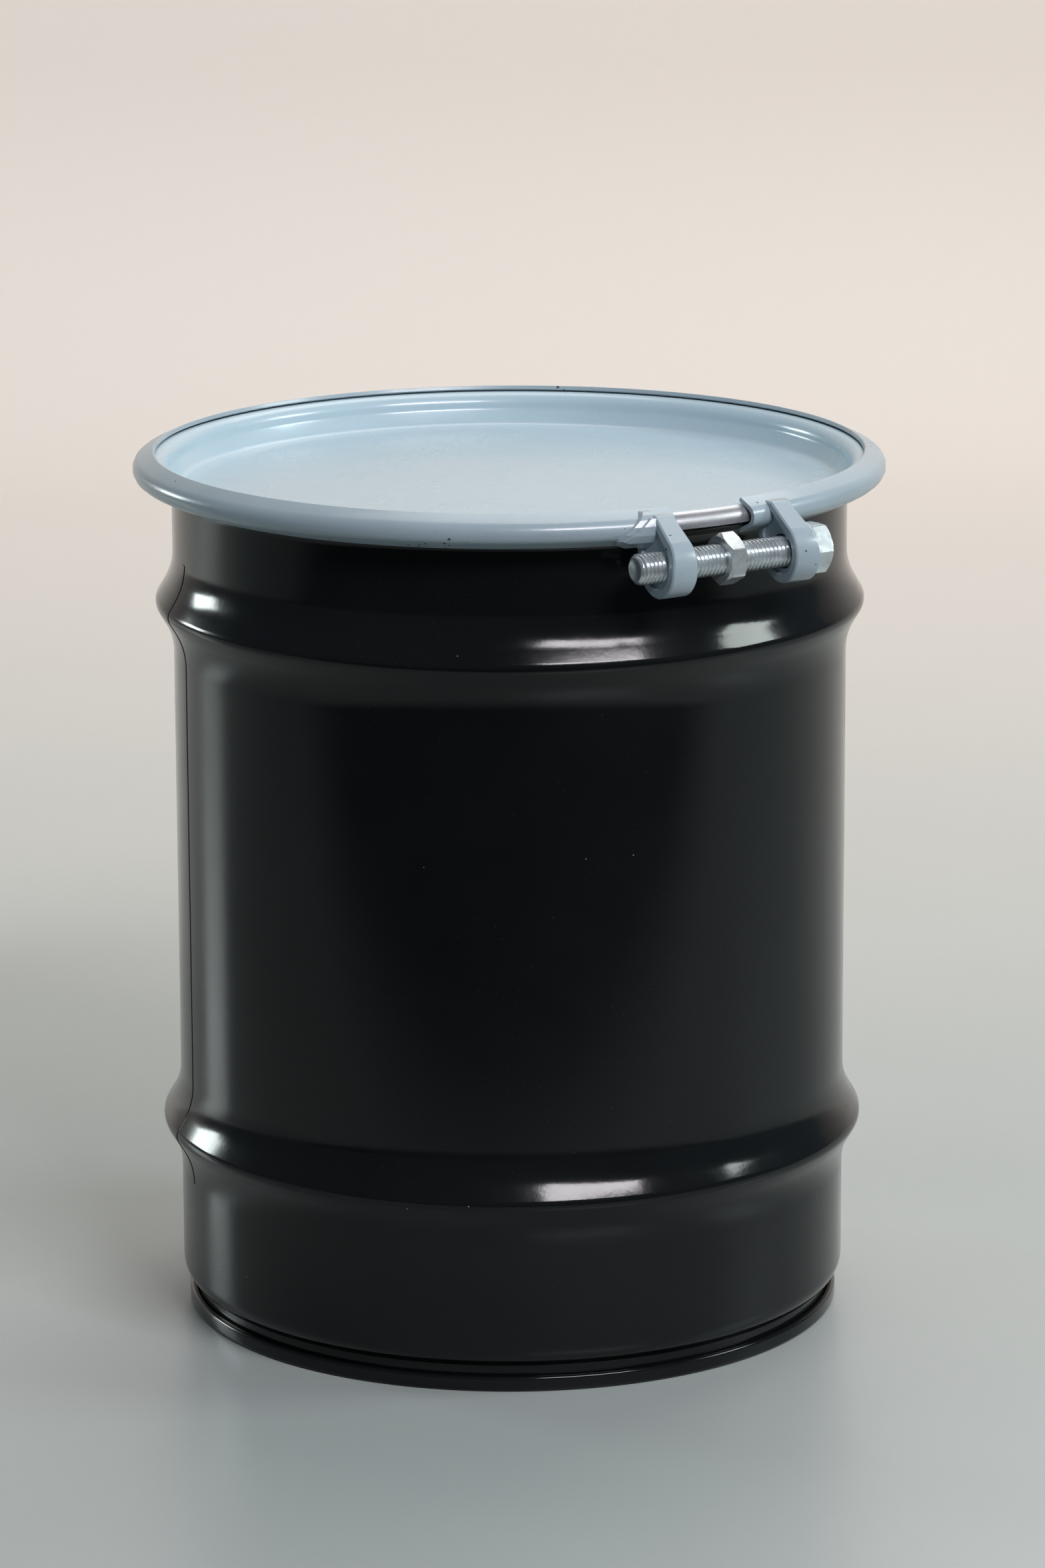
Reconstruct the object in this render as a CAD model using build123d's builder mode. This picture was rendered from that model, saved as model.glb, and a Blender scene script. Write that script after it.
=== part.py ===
"""Open-head steel drum, 10 US gallon size, closed by a recessed cover and a bolted ring.

Frame: origin on the drum's axis at the floor, +Z up. The ring's gap and its bolt face -Y,
and the bolt lies along X with its head at +X. All lengths are in millimetres.
"""

import math
import os

from build123d import *

# ---- driving dimensions -------------------------------------------------------------

overall_height = 464.2      # floor to the top edge of the closure ring
body_radius = 178.0         # outside of the straight wall
body_sheet = 1.2
head_sheet = 1.2            # bottom head
cover_sheet = 1.2
ring_sheet = 2.3

# rolled hoops in the body wall
hoop_heights = (103.5, 384.5)
hoop_rise = 9.3             # crest above the wall
hoop_crest_radius = 6.0     # outside of the sheet
hoop_foot_radius = 36.0
hoop_slope = 31.0           # steepest slope of the hoop's flanks, degrees

# bottom: necked-in wall and double-seamed chime
neck_in = 7.0               # how far the wall steps in above the chime
neck_turn_radius = 11.5     # middle of the sheet
neck_root_radius = 1.8
body_foot_height = 24.5     # where the straight wall ends
chime_height = 8.3
seam_gap = 0.1              # between the folded layers
seam_flats = 3              # in each folded hook
hook_overlap = 1.8
chime_corner = 2.0
head_recess = 15.1          # floor to the top of the bottom panel
head_corner = 5.0
panel_step = 2.0            # expansion step in the bottom panel
panel_step_radius = 150.0
panel_step_slope = 20.0

# top of the body: flared mouth and outward curl
mouth_flare = 5.1
flare_slope = 46.0          # degrees
curl_radius = 4.4           # outside of the curl
curl_turn = 300.0           # degrees of sheet in the curl
curl_flat = 30.0            # degrees in each flat of the curl, and of the channel over it

# cover: channel over the curl, sloped wall, flat panel
channel_side_gap = 1.4      # between curl and channel, for the gasket
channel_crown_gap = 2.05
gasket_play = 0.3           # between gasket and curl
gasket_seat = 0.05          # between gasket and channel
cover_skirt = 1.4           # straight skirt below the channel's middle
cover_depth = 17.0          # crown to panel
cover_wall_slope = 30.0     # degrees from vertical
cover_shoulder = 5.0
cover_corner = 6.0

# closure ring
ring_leg_slope = 25.0       # degrees from horizontal
ring_nose_radius = 3.94     # inside of the nose
ring_play = 0.33            # clear of the cover and of the curl
ring_edge_reach = 0.9       # the legs' edges stand this far outside the curl's middle
ring_gap = 43.5             # between the strip's ends

# bolt, nut and lugs
bolt_radius = 7.94          # major radius of a 5/8 inch thread
bolt_length = 101.6
bolt_tip_chamfer = 1.4
hex_across_flats = 23.8
bolt_head_height = 9.9
nut_thickness = 9.5
thread_play = 0.06
plain_bore_radius = 9.0
bolt_outset = 4.8           # bolt axis outside the ring's nose
bolt_drop = 17.3            # bolt axis below the ring's middle
lug_radius = 16.0
lug_width = 15.0
lug_draft = 10.0            # degrees, on the side away from the gap
lug_rim = 4.4
lug_dish = 1.8
lug_edge = 0.8              # chamfer
lug_saddle_play = 0.1       # between lug and ring
threaded_lug_setback = 3.2  # from the strip's end to the lug
plain_lug_setback = 12.2
ear_length = 15.0
ear_thickness = 3.2
nut_place = 2.2             # middle of the jam nut, from the middle of the gap
nut_turn = 30               # degrees, so that a flat of the jam nut faces the wall
head_play = 0.3             # under the bolt's head
weld_width = 2.4
weld_throat = 1.7
weld_play = 0.02            # between a weld and the ring

# ---- derived: rim stack, from the curl outwards ---------------------------------------

wall_radius = body_radius - body_sheet / 2                 # middle of the sheet
curl_bend = curl_radius - body_sheet / 2
curl_centre_radius = wall_radius + mouth_flare + curl_bend
channel_inside = curl_radius + channel_side_gap
channel_bend = channel_inside + cover_sheet / 2
channel_outside = channel_inside + cover_sheet
channel_rise = channel_crown_gap - channel_side_gap        # channel middle above curl middle

leg_cos = math.cos(math.radians(ring_leg_slope))
leg_sin = math.sin(math.radians(ring_leg_slope))
leg_tan = leg_sin / leg_cos
ring_half_opening = (
    channel_rise + (channel_outside + curl_radius + 2 * ring_play) / leg_cos
) / 2
ring_above_curl = (channel_rise + (channel_outside - curl_radius) / leg_cos) / 2
nose_centre_radius = curl_centre_radius + (ring_half_opening - ring_nose_radius / leg_cos) / leg_tan
nose_outside = ring_nose_radius + ring_sheet
nose_bend = ring_nose_radius + ring_sheet / 2
ring_nose = nose_centre_radius + nose_outside              # greatest radius of the ring
ring_edge_radius = curl_centre_radius + ring_edge_reach    # outer corner of each leg's edge
ring_half_height = ring_half_opening + ring_sheet / leg_cos - ring_edge_reach * leg_tan

ring_level = overall_height - ring_half_height
curl_level = ring_level - ring_above_curl
channel_level = curl_level + channel_rise

# ---- derived: hoops ------------------------------------------------------------------------

hoop_radii = hoop_foot_radius + hoop_crest_radius
hoop_sin = math.sin(math.radians(hoop_slope))
hoop_cos = math.cos(math.radians(hoop_slope))
hoop_flank = (hoop_rise - hoop_radii * (1 - hoop_cos)) / hoop_sin
hoop_half_width = hoop_radii * hoop_sin + hoop_flank * hoop_cos

# ---- derived: chime ---------------------------------------------------------------------

neck_radius = wall_radius - neck_in                        # middle of the sheet
hook_bend = (head_sheet + body_sheet) / 2 + seam_gap       # the hooks lie one layer apart
body_hook_radius = neck_radius + 2 * hook_bend
body_bend_level = head_sheet + seam_gap + hook_bend + body_sheet / 2
chuck_radius = neck_radius - hook_bend
seaming_radius = body_hook_radius + hook_bend
end_hook_radius = seaming_radius - 2 * hook_bend
fold_level = chime_height - hook_bend * math.cos(math.radians(90 / seam_flats)) - head_sheet / 2

# ---- derived: closure --------------------------------------------------------------------

bolt_radius_from_axis = ring_nose + bolt_outset
bolt_level = ring_level - bolt_drop
threaded_face = ring_gap / 2 + threaded_lug_setback
plain_face = ring_gap / 2 + plain_lug_setback
head_seat = plain_face + lug_width + head_play
half_gap_angle = math.degrees(math.asin(ring_gap / 2 / ring_edge_radius))
lug_top_level = ring_level + 6.7
lug_top_outset = bolt_radius_from_axis - 6.5



# ---- helpers ------------------------------------------------------------------------------


def ahead(length, heading):
    return Vector(length * math.cos(math.radians(heading)), length * math.sin(math.radians(heading)))


def bent_path(start, heading, *moves):
    """The corners of a sheet's middle line, as (point, heading in, heading out).

    A move is a straight length, or a bend given as (radius, turn, flats), rolled in that many
    equal flats, or a sharp corner with radius 0. A left turn is positive. Headings are degrees
    from the profile's +X.
    """
    point = Vector(*start)
    corners = []
    arriving = heading
    for move in moves:
        if isinstance(move, tuple):
            radius, turn, flats = move
            if radius == 0:
                heading = heading + turn
                continue
            step = turn / flats
            chord = 2 * radius * math.sin(math.radians(abs(step) / 2))
        else:
            step, flats, chord = 0, 1, move
        for _ in range(flats):
            leaving = heading + step / 2
            corners.append((point, arriving, leaving))
            point = point + ahead(chord, leaving)
            arriving = leaving
            heading = heading + step
    corners.append((point, arriving, arriving))
    return [(corners[0][0], corners[0][2], corners[0][2])] + corners[1:]


def beside(path, distance):
    """The corners of a line that runs to the left of a path, mitred at each bend."""
    points = []
    for point, arriving, leaving in path:
        mitre = distance / math.cos(math.radians((leaving - arriving) / 2))
        points.append(point + ahead(mitre, (leaving + arriving) / 2 + 90))
    return points


def sheet_outline(path, thickness):
    """The closed outline of a bent sheet."""
    return beside(path, thickness / 2) + beside(path, -thickness / 2)[::-1]


def path_end(path):
    return path[-1][0]


def hoop_moves():
    """One rolled hoop, as moves up the wall: foot, flank, crest, flank, foot."""
    foot = (hoop_foot_radius + body_sheet / 2, -hoop_slope, 2)
    crest = (hoop_crest_radius - body_sheet / 2, 2 * hoop_slope, 3)
    return (foot, hoop_flank, crest, hoop_flank, foot)


def ring_path():
    """The ring's middle line, from its lower edge round the nose to its upper edge."""
    start = (
        ring_edge_radius - ring_sheet / 2 * leg_sin,
        ring_level - ring_half_height + ring_sheet / 2 * leg_cos,
    )
    leg = (nose_centre_radius + nose_bend * leg_sin - start[0]) / leg_cos
    nose = (nose_bend, 180 - 2 * ring_leg_slope, 5)
    return bent_path(start, ring_leg_slope, leg, nose, leg)


def ring_outline(swell):
    """The ring's outer face moved out by swell, closed straight across its open side."""
    return beside(ring_path(), -ring_sheet / 2 - swell)


def side_plane(x):
    """A plane across the bolt at x, seen from +X: local x is outwards, local y is up."""
    return Plane(origin=(x, 0, 0), x_dir=(0, -1, 0), z_dir=(-1, 0, 0))


def teardrop(inset):
    """A lug's outline: round boss, sloped front, flat top and a back that meets the ring."""
    boss = lug_radius - inset
    corner = 1.5
    top = lug_top_level - corner - inset
    low = ring_level - ring_half_height - corner
    with Locations((bolt_radius_from_axis, bolt_level)):
        Circle(boss)
    with Locations(
        (lug_top_outset - corner, top),
        (ring_edge_radius + 1.0 + inset, top),
        (ring_edge_radius - 2.0 + inset, low),
    ):
        Circle(corner)
    make_hull()


def lug_body(inset, gap_side, outer_side):
    """A lug's forging on the -X side: its outline moved in by inset, its two faces moved in."""
    with BuildPart() as body:
        with BuildSketch(side_plane(-gap_side)):
            teardrop(inset)
        extrude(amount=lug_width - gap_side - outer_side)
        draft_plane = Plane(
            origin=(-lug_width + outer_side, 0, bolt_level),
            x_dir=(0, 1, 0),
            z_dir=(-math.cos(math.radians(lug_draft)), 0, math.sin(math.radians(lug_draft))),
        )
        split(bisect_by=draft_plane, keep=Keep.BOTTOM)
    return body.part


def forged_lug():
    """A lug on the -X side with its gap face at x = 0: rounded edges and a dish in each face."""
    with BuildPart() as lug:
        add(lug_body(0, 0, 0))
        chamfer(lug.edges(), lug_edge)
        add(lug_body(lug_rim, -1.0, -1.0), mode=Mode.SUBTRACT)
        add(lug_body(lug_rim, lug_dish, lug_dish))
    return lug.part


def saddle():
    """The space a lug leaves for the ring and for everything the ring holds."""
    with BuildPart() as space:
        with BuildSketch(Plane.XZ):
            with BuildLine():
                Polyline(*ring_outline(lug_saddle_play), close=True)
            make_face()
            with Locations((ring_edge_radius + 1.0, ring_level)):
                Rectangle(
                    40.0,
                    2 * (ring_half_height + lug_saddle_play),
                    align=(Align.MAX, Align.CENTER),
                )
        revolve(axis=Axis.Z)
    return space.part


def nose_band(inside, outside):
    """A band that wraps round the ring's outer face."""
    with BuildPart() as band:
        with BuildSketch(Plane.XZ):
            with BuildLine():
                Polyline(*ring_outline(inside), *ring_outline(outside)[::-1], close=True)
            make_face()
        revolve(axis=Axis.Z)
    return band.part


def hexagon(height, first_end, second_end):
    """A hexagon along Z from z = 0, with each end's corners taken off where asked."""
    corner = hex_across_flats / 2 / math.cos(math.radians(30))
    round_end = hex_across_flats / 2 - 0.35
    drop = (corner - round_end) * math.tan(math.radians(30))
    with BuildPart() as prism:
        Cylinder(corner, height, align=(Align.CENTER, Align.CENTER, Align.MIN))
        if first_end:
            chamfer(prism.edges().sort_by(Axis.Z)[0], drop, corner - round_end)
        if second_end:
            chamfer(prism.edges().sort_by(Axis.Z)[-1], drop, corner - round_end)
        with BuildSketch():
            RegularPolygon(radius=corner, side_count=6)
        extrude(amount=height, mode=Mode.INTERSECT)
    return prism.part


def bolt_place(x):
    """Where a turned piece starts on the bolt's axis; its own +Z runs towards +X."""
    return Plane(origin=(x, -bolt_radius_from_axis, bolt_level), x_dir=(0, -1, 0), z_dir=(1, 0, 0))


# ---- body shell: foot hook, necked-in foot, wall with two hoops, flared mouth, curl -------

neck_turn = math.degrees(math.acos(1 - neck_in / (neck_root_radius + neck_turn_radius)))
neck_height = (neck_root_radius + neck_turn_radius) * math.sin(math.radians(neck_turn))
flare_bend = mouth_flare / 2 / (1 - math.cos(math.radians(flare_slope)))
flare_height = 2 * flare_bend * math.sin(math.radians(flare_slope))
body_hook_tip = fold_level - 0.2

body_path = bent_path(
    (body_hook_radius, body_hook_tip),
    -90,
    body_hook_tip - body_bend_level,
    (hook_bend, -180, seam_flats),
    body_foot_height - neck_height - body_bend_level,
    (neck_root_radius, -neck_turn, 2),
    (neck_turn_radius, neck_turn, 3),
    hoop_heights[0] - hoop_half_width - body_foot_height,
    *hoop_moves(),
    hoop_heights[1] - hoop_heights[0] - 2 * hoop_half_width,
    *hoop_moves(),
    curl_level - flare_height - hoop_heights[1] - hoop_half_width,
    (flare_bend, -flare_slope, 2),
    (flare_bend, flare_slope, 2),
    (curl_bend, -curl_turn, round(curl_turn / curl_flat)),
)

with BuildPart() as body_shell:
    with BuildSketch(Plane.XZ):
        with BuildLine():
            Polyline(*sheet_outline(body_path, body_sheet), close=True)
        make_face()
    revolve(axis=Axis.Z)
body_shell.part.label = "body_shell"

# ---- bottom head: end hook, seaming wall, chuck wall, recessed panel ----------------------

panel_middle = head_recess - head_sheet / 2
corner_bend = chime_corner - head_sheet / 2
end_hook_tip = body_hook_tip - hook_overlap

head_start = (end_hook_radius, end_hook_tip)
head_moves = (
    fold_level - end_hook_tip,
    (hook_bend, -180, seam_flats),
    fold_level - chime_corner,
    (corner_bend, -90, 2),
    seaming_radius - chuck_radius - 2 * corner_bend,
    (corner_bend, -90, 2),
    panel_middle - head_corner - chime_corner,
    (head_corner, 90, 3),
    chuck_radius - head_corner - panel_step_radius,
    (0, -panel_step_slope, 1),
    panel_step / math.sin(math.radians(panel_step_slope)),
    (0, panel_step_slope, 1),
)
head_rim = path_end(bent_path(head_start, 90, *head_moves))
head_path = bent_path(head_start, 90, *head_moves, head_rim.X)

with BuildPart() as bottom_head:
    with BuildSketch(Plane.XZ):
        with BuildLine():
            Polyline(*sheet_outline(head_path, head_sheet), close=True)
        make_face()
    revolve(axis=Axis.Z)
bottom_head.part.label = "bottom_head"

# ---- seam compound: fills the body hook's bend under the end hook -------------------------

compound_width = 2 * hook_bend - body_sheet - 0.1
compound_low = body_bend_level + 0.15

with BuildPart() as seam_compound:
    with BuildSketch(Plane.XZ):
        with Locations((end_hook_radius, compound_low)):
            Rectangle(
                compound_width,
                end_hook_tip - compound_low - 0.1,
                align=(Align.CENTER, Align.MIN),
            )
    revolve(axis=Axis.Z)
seam_compound.part.label = "seam_compound"

# ---- cover: skirt, channel, sloped wall, panel --------------------------------------------

cover_panel = channel_level + channel_bend - cover_depth
shoulder_sin = math.sin(math.radians(cover_wall_slope))
shoulder_cos = math.cos(math.radians(cover_wall_slope))
cover_flank = (
    channel_level - cover_panel - cover_shoulder * shoulder_sin - cover_corner * (1 - shoulder_sin)
) / shoulder_cos
skirt_radius = curl_centre_radius + channel_bend

cover_start = (skirt_radius, channel_level - cover_skirt)
cover_moves = (
    cover_skirt,
    (channel_bend, 180, round(180 / curl_flat)),
    (cover_shoulder, -cover_wall_slope, 1),
    cover_flank,
    (cover_corner, cover_wall_slope - 90, 2),
)
cover_rim = path_end(bent_path(cover_start, 90, *cover_moves))
cover_path = bent_path(cover_start, 90, *cover_moves, cover_rim.X)

with BuildPart() as cover:
    with BuildSketch(Plane.XZ):
        with BuildLine():
            Polyline(*sheet_outline(cover_path, cover_sheet), close=True)
        make_face()
    revolve(axis=Axis.Z)
cover.part.label = "cover"

# ---- gasket: moulded into the channel, over the curl --------------------------------------

channel_path = bent_path(
    (skirt_radius, channel_level - cover_skirt - 0.4),
    90,
    cover_skirt + 0.4,
    (channel_bend, 180, round(180 / curl_flat)),
)
curl_top = bent_path(
    (curl_centre_radius - curl_bend, curl_level),
    90,
    (curl_bend, -180, round(180 / curl_flat)),
    cover_skirt + 0.4 - channel_rise,
)

with BuildPart() as cover_gasket:
    with BuildSketch(Plane.XZ):
        with BuildLine():
            Polyline(
                *beside(channel_path, cover_sheet / 2 + gasket_seat),
                *beside(curl_top, body_sheet / 2 + gasket_play),
                close=True,
            )
        make_face()
    revolve(axis=Axis.Z)
cover_gasket.part.label = "cover_gasket"

# ---- closure ring: split strip with two legs and a round nose -----------------------------

strip_start = math.radians(half_gap_angle - 90)
strip_end_plane = Plane(
    origin=(0, 0, 0),
    x_dir=(math.cos(strip_start), math.sin(strip_start), 0),
    z_dir=(math.sin(strip_start), -math.cos(strip_start), 0),
)

with BuildPart() as closure_ring:
    with BuildSketch(strip_end_plane):
        with BuildLine():
            Polyline(*sheet_outline(ring_path(), ring_sheet), close=True)
        make_face()
    revolve(axis=Axis.Z, revolution_arc=360 - 2 * half_gap_angle)
closure_ring.part.label = "closure_ring"

# ---- lugs: forgings with a saddle for the ring's nose -------------------------------------

with BuildPart() as plain_lug:
    add(forged_lug().mirror(Plane.YZ).moved(Location((plain_face, 0, 0))))
    with BuildSketch(bolt_place(plain_face + lug_dish)):
        Circle(hex_across_flats / 2 + 2.2)
    extrude(amount=lug_width - lug_dish)
    with BuildSketch(bolt_place(plain_face - 1.0)):
        Circle(plain_bore_radius)
    extrude(amount=lug_width + 2.0, mode=Mode.SUBTRACT)
    add(saddle(), mode=Mode.SUBTRACT)
plain_lug.part.label = "plain_lug"

ear_outline = (
    (-threaded_face - 9.0, ring_level + 5.9),
    (-threaded_face - 13.0, ring_level + 5.9),
    (-threaded_face - lug_width - ear_length * 0.8, ring_level - 5.1),
    (-threaded_face - 14.5, ring_level - 10.6),
    (-threaded_face - 9.0, ring_level - 10.6),
)

with BuildPart() as threaded_lug:
    with BuildSketch(Plane.XZ):
        Polygon(*ear_outline, align=None)
    extrude(amount=2 * body_radius)
    add(nose_band(lug_saddle_play, lug_saddle_play + ear_thickness), mode=Mode.INTERSECT)
    add(forged_lug().moved(Location((-threaded_face, 0, 0))))
    with BuildSketch(bolt_place(-threaded_face - lug_width - 1.0)):
        Circle(bolt_radius + thread_play)
    extrude(amount=lug_width + 2.0, mode=Mode.SUBTRACT)
    add(saddle(), mode=Mode.SUBTRACT)
threaded_lug.part.label = "threaded_lug"

# ---- welds: a bead round each lug's outer side, on the ring -------------------------------

with BuildPart() as plain_lug_weld:
    weld_block = lug_body(0, 8.0, -weld_width)
    add(weld_block.mirror(Plane.YZ).moved(Location((plain_face, 0, 0))))
    add(nose_band(weld_play, weld_throat), mode=Mode.INTERSECT)
    add(plain_lug.part, mode=Mode.SUBTRACT)
plain_lug_weld.part.label = "plain_lug_weld"

with BuildPart() as threaded_lug_weld:
    with BuildSketch(Plane.XZ):
        Polygon(*ear_outline, align=None)
        offset(amount=weld_width, kind=Kind.ARC)
        Polygon(*ear_outline, align=None, mode=Mode.SUBTRACT)
    extrude(amount=2 * body_radius)
    add(nose_band(weld_play, weld_throat), mode=Mode.INTERSECT)
    add(threaded_lug.part, mode=Mode.SUBTRACT)
threaded_lug_weld.part.label = "threaded_lug_weld"

# ---- bolt and jam nut ---------------------------------------------------------------------

washer_face = 0.4

with BuildPart() as bolt:
    with BuildSketch(bolt_place(head_seat - bolt_length)):
        Circle(bolt_radius)
    extrude(amount=bolt_length + washer_face)
    tip = bolt.faces().sort_by(Axis.X)[0]
    chamfer(tip.edges(), bolt_tip_chamfer)
    with BuildSketch(bolt_place(head_seat)):
        Circle(hex_across_flats / 2 - 0.5)
    extrude(amount=washer_face)
    add(
        bolt_place(head_seat + washer_face).location
        * hexagon(bolt_head_height - washer_face, False, True)
    )
bolt.part.label = "bolt"

nut_start = nut_place - nut_thickness / 2

with BuildPart() as jam_nut:
    add(bolt_place(nut_start).location * Rot(0, 0, nut_turn) * hexagon(nut_thickness, True, True))
    with BuildSketch(bolt_place(nut_start - 1.0)):
        Circle(bolt_radius + thread_play)
    extrude(amount=nut_thickness + 2.0, mode=Mode.SUBTRACT)
    bore_ends = jam_nut.edges().filter_by(GeomType.CIRCLE).filter_by(
        lambda edge: abs(edge.radius - bolt_radius - thread_play) < 0.01
    )
    chamfer(bore_ends, 0.7)
jam_nut.part.label = "jam_nut"

# ---- export -------------------------------------------------------------------------------

pieces = {
    "body_shell": body_shell,
    "bottom_head": bottom_head,
    "seam_compound": seam_compound,
    "cover": cover,
    "cover_gasket": cover_gasket,
    "closure_ring": closure_ring,
    "plain_lug": plain_lug,
    "plain_lug_weld": plain_lug_weld,
    "threaded_lug": threaded_lug,
    "threaded_lug_weld": threaded_lug_weld,
    "bolt": bolt,
    "jam_nut": jam_nut,
}
os.makedirs("parts", exist_ok=True)
for name, piece in pieces.items():
    export_step(piece.part, "parts/" + name + ".step")
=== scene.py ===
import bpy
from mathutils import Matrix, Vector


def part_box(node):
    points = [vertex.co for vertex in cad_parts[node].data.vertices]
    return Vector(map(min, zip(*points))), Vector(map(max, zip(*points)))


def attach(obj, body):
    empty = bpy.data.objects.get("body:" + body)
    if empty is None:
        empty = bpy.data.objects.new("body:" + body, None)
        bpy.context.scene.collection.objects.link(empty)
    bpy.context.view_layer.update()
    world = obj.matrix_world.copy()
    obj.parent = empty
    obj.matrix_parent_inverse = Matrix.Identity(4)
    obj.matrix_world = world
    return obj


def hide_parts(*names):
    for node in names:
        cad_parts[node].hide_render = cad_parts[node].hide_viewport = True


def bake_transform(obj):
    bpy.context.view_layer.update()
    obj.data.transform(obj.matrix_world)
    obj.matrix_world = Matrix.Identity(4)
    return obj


bl_info = {
    "name": "Open-head drum",
    "version": (1, 0, 0),
    "blender": (4, 5, 0),
    "location": "View3D > Sidebar > Drum",
    "description": "Builds the finished pieces of an open-head steel drum and its bolted ring",
    "category": "Object",
}

import math

import bmesh
import bpy
from bpy.props import FloatProperty, FloatVectorProperty, IntProperty, PointerProperty
from bpy.types import Operator, Panel, PropertyGroup
from mathutils import Matrix, Vector

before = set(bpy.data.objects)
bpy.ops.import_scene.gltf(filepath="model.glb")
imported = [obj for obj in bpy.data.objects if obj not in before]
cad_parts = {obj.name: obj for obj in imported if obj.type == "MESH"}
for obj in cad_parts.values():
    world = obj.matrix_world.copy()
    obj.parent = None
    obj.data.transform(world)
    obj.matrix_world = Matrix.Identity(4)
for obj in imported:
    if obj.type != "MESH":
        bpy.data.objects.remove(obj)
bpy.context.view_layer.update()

MM = 0.001
RING_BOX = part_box("closure_ring")
BOLT_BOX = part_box("bolt")
NUT_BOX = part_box("jam_nut")

# A bend is made of flats: none turns more than FLAT or is longer than CHORD.
FLAT = math.radians(9)
CHORD = 1.6 * MM
SMOOTH = math.radians(32)
HEX_SMOOTH = math.radians(24)
SHEET_EDGE = 0.25 * MM
RING_EDGE = 0.35 * MM

HOOK_SHORT = 0.2 * MM
CURL_TURN = math.radians(300)
HEAD_HOOK_LOW = 4.4 * MM
HEAD_CORNER = 5.0 * MM
PANEL_STEP_AT = 150.0 * MM
PANEL_STEP = 2.0 * MM
PANEL_STEP_SLOPE = math.radians(20)
PANEL_STEP_BEND = 4.0 * MM
SIDE_SEAM_TOP = 0.7
LUG_EDGE = 0.5 * MM

THREAD_STEPS = 64
ROWS_PER_THREAD = 12
THREAD_CREST = 0.16
THREAD_FLANK = 0.70
TIP_ROUND = 0.90
SHANK_SMALLER = 0.3 * MM
HEAD_LENGTH = 9.9 * MM
HEX_STEPS = 144
HEX_CHAMFER = 0.35 * MM
HEX_CHAMFER_ROWS = 8
NUT_LEAD = 0.5 * MM

LOOK = Vector((0.5270, 0.8499, 0.0)).normalized()
CAMERA_PLACE = (-1.6741, -2.7119, 1.045)
CAMERA_PITCH = math.radians(13.48)
CAMERA_ROLL = math.radians(0.209)
CAMERA_LENS = 141.1
AIM_HEIGHT = 0.25
WALL_AWAY = 2.65
WALL_HEIGHT = 5.0
WALL_COVE = 0.35
COVE_STEPS = 12
FLOOR_HALF_WIDTH = 4.0
FLOOR_FRONT = 4.0
# name, azimuth from the camera's side, elevation, distance, width, height, power, colour
SOFTBOXES = (
    ("front_softbox", 29, 39, 3.0, 1.5, 0.5, 60, (1.0, 0.96, 1.0)),
    ("right_softbox", 88, 30, 3.0, 0.9, 0.6, 24, (0.90, 1.0, 0.97)),
    ("left_softbox", -120, 10, 3.0, 0.7, 0.5, 20, (0.90, 1.0, 0.99)),
)


def middle(box, axis):
    return (box[0][axis] + box[1][axis]) / 2


def size(name, description, default):
    return FloatProperty(
        name=name, description=description, default=default, min=0.0, unit="LENGTH", precision=5
    )


def angle(name, description, degrees):
    return FloatProperty(
        name=name, description=description, default=math.radians(degrees), subtype="ANGLE"
    )


def paint(name, description, default):
    return FloatVectorProperty(
        name=name, description=description, default=default, min=0.0, max=1.0, subtype="COLOR"
    )


class DrumSizes(PropertyGroup):
    wall_radius: size("Wall radius", "Outside of the straight wall", 178.0 * MM)
    body_sheet: size("Body sheet", "Thickness of the body sheet", 1.2 * MM)
    lower_hoop: size("Lower hoop", "Height of the lower hoop's crest", 103.5 * MM)
    upper_hoop: size("Upper hoop", "Height of the upper hoop's crest", 384.5 * MM)
    hoop_rise: size("Hoop rise", "How far a hoop stands out of the wall", 9.3 * MM)
    hoop_crest: size("Hoop crest radius", "Outside radius of a hoop's crest", 6.0 * MM)
    hoop_foot: size("Hoop foot radius", "Outside radius of a hoop's foot", 36.0 * MM)
    hoop_slope: angle("Hoop slope", "Steepest slope of a hoop's flanks", 31.0)
    neck_in: size("Neck-in", "How far the wall steps in above the chime", 7.0 * MM)
    neck_turn: size("Neck bend", "Radius of the shoulder above the chime", 11.5 * MM)
    neck_root: size("Neck root", "Radius at the root of the neck", 1.8 * MM)
    straight_from: size("Straight wall from", "Height where the straight wall starts", 24.5 * MM)
    chime_height: size("Chime height", "Height of the double seam", 8.3 * MM)
    seam_gap: size("Seam gap", "Gap between the folded layers", 0.1 * MM)
    chime_corner: size("Chime corner", "Outside radius of the chime's corners", 2.0 * MM)
    head_recess: size("Bottom recess", "Floor to the top of the bottom panel", 15.1 * MM)
    mouth_flare: size("Mouth flare", "How far the mouth flares out", 5.1 * MM)
    flare_slope: angle("Flare slope", "Steepest slope of the flare", 46.0)
    curl_radius: size("Curl radius", "Outside radius of the curl", 4.4 * MM)
    side_seam_width: size("Side seam width", "Width of the welded side seam", 5.0 * MM)
    side_seam_rise: size("Side seam rise", "How far the side seam stands out", 0.3 * MM)
    side_seam_at: angle("Side seam place", "Round the drum from the ring's gap", -104.0)
    around: IntProperty(
        name="Steps around", description="Faces round the drum", default=240, min=48, max=512
    )


class CoverSizes(PropertyGroup):
    sheet: size("Cover sheet", "Thickness of the cover", 1.2 * MM)
    side_gap: size("Channel side gap", "Between curl and channel", 1.4 * MM)
    crown_gap: size("Channel crown gap", "Between curl and channel's crown", 2.05 * MM)
    skirt: size("Skirt", "Straight skirt below the channel's middle", 1.4 * MM)
    depth: size("Depth", "Crown to panel", 17.0 * MM)
    wall_slope: angle("Wall slope", "Slope of the cover's wall from vertical", 30.0)
    shoulder: size("Shoulder radius", "Bend between channel and wall", 5.0 * MM)
    corner: size("Corner radius", "Bend between wall and panel", 6.0 * MM)


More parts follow.
